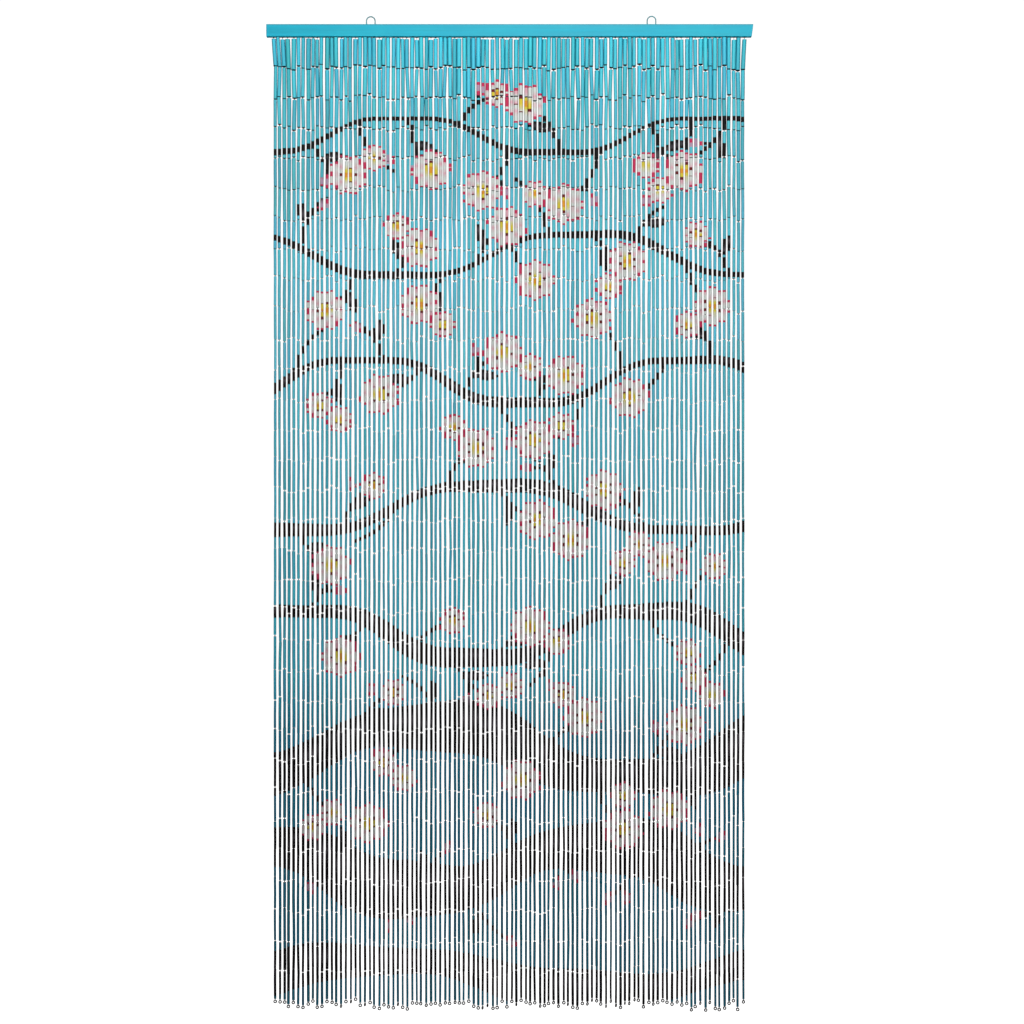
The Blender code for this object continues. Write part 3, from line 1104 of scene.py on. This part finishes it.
def eye_finish():
    """Steel wire under a thin and uneven coat of turquoise."""
    finish = Finish("painted wire")
    coat = finish.noise((420, 420, 420), 3.0)
    finish.set(
        Base_Color=finish.mixed(coat, COAT_DEEP, COAT_PALE),
        Roughness=0.30 + coat * 0.25,
        Metallic=0.55,
        Normal=finish.bump(coat, 0.3, 0.0002),
    )
    return finish.material


def rail_finish():
    """Turquoise paint on a planed batten, its grain along the rail, with painted shade along its
    top edge.
    """
    finish = Finish("rail paint")
    grain = finish.noise((9, 420, 420), 4.0)
    brush = finish.noise((3, 140, 140), 2.0)
    cloud = finish.noise((14, 30, 30), 2.0)
    # painted shade: the rail grows darker and duller towards its top edge
    height = finish.add("ShaderNodeTexCoord", {}, output="Object")
    height = finish.add("ShaderNodeSeparateXYZ", {"Vector": height}, output="Z")
    low, high = RAIL_TOP_SHADE_DEPTHS
    top_shade = finish.add(
        "ShaderNodeMapRange", {"Value": height, "From Min": -low, "From Max": -high}
    )
    colour = finish.mixed(cloud, RAIL_DEEP, RAIL_PALE)
    colour = finish.mixed(top_shade * 0.75, colour, RAIL_TOP_SHADE)
    finish.set(
        Base_Color=finish.tinted(colour, 0.76 + grain * 0.26 + brush * 0.22),
        Roughness=0.38 + brush * 0.16,
        Normal=finish.bump(grain + brush, 0.30, 0.0005),
        Specular_IOR_Level=0.18,
    )
    return finish.material


def paint_rail():
    """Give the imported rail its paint."""
    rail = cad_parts["rail"]
    rail.data.materials.clear()
    rail.data.materials.append(rail_finish())


def aim(thing, target):
    """Turn a camera or a light towards a point."""
    ahead = Vector(target) - thing.location
    thing.rotation_euler = ahead.to_track_quat("-Z", "Y").to_euler()


def place_camera():
    """Stand the camera level with the curtain's middle, as in the photograph."""
    camera = bpy.data.cameras.new("camera")
    camera.sensor_width = SENSOR
    camera.lens = SENSOR * CAMERA_AWAY / (PHOTO_SCALE * PHOTO_PIXELS)
    made = bpy.data.objects.new("camera", camera)
    made.location = (CAMERA_RIGHT, -CAMERA_AWAY, CAMERA_HEIGHT)
    aim(made, (CAMERA_RIGHT, 0, CAMERA_HEIGHT))
    bpy.context.collection.objects.link(made)
    bpy.context.scene.camera = made


def hang_light(light):
    """Add one of the lights."""
    lamp = bpy.data.lights.new(light.name, "AREA")
    lamp.size = light.side
    lamp.energy = light.power
    made = bpy.data.objects.new(light.name, lamp)
    made.location = light.place
    aim(made, light.target)
    bpy.context.collection.objects.link(made)


def light_studio():
    """Light the curtain softly from above in front, before a white background."""
    for light in LIGHTS:
        hang_light(light)
    world = bpy.data.worlds.new("white room")
    world.use_nodes = True
    tree = world.node_tree
    room = tree.nodes["Background"]
    room.inputs["Color"].default_value = WHITE
    room.inputs["Strength"].default_value = ROOM_LIGHT
    seen = tree.nodes.new("ShaderNodeBackground")
    seen.inputs["Color"].default_value = WHITE
    seen.inputs["Strength"].default_value = ROOM_SEEN
    ray = tree.nodes.new("ShaderNodeLightPath")
    mix = tree.nodes.new("ShaderNodeMixShader")
    tree.links.new(ray.outputs["Is Camera Ray"], mix.inputs[0])
    tree.links.new(room.outputs[0], mix.inputs[1])
    tree.links.new(seen.outputs[0], mix.inputs[2])
    tree.links.new(mix.outputs[0], tree.nodes["World Output"].inputs["Surface"])
    bpy.context.scene.world = world
    bpy.context.scene.view_settings.view_transform = "Standard"


def lay_floor():
    """Lay a plain pale floor under the curtain."""
    lowest = CAD_BOX[0][2] - FLOOR_DROP
    bpy.ops.object.select_all(action="DESELECT")
    bpy.ops.mesh.primitive_plane_add(size=FLOOR_SIDE, location=(0, 0, lowest))
    floor = bpy.context.object
    floor.name = "floor"
    finish = Finish("pale floor")
    seen = finish.add("ShaderNodeLightPath", {}, output="Is Camera Ray")
    finish.set(Base_Color=(0.8, 0.8, 0.8, 1), Roughness=0.8)
    finish.set(Emission_Color=WHITE, Emission_Strength=seen)
    floor.data.materials.append(finish.material)


def main():
    """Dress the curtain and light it."""
    steel = steel_finish()
    strands = Strands()
    make_tubes(strands, bamboo_finish())
    turn = make_links(strands, steel)
    make_hooks(strands, steel)
    make_rings(strands, turn, steel)
    coated = eye_finish()
    for eye in EYES:
        bend_eye(eye, coated)
    paint_rail()
    place_camera()
    light_studio()
    lay_floor()


main()
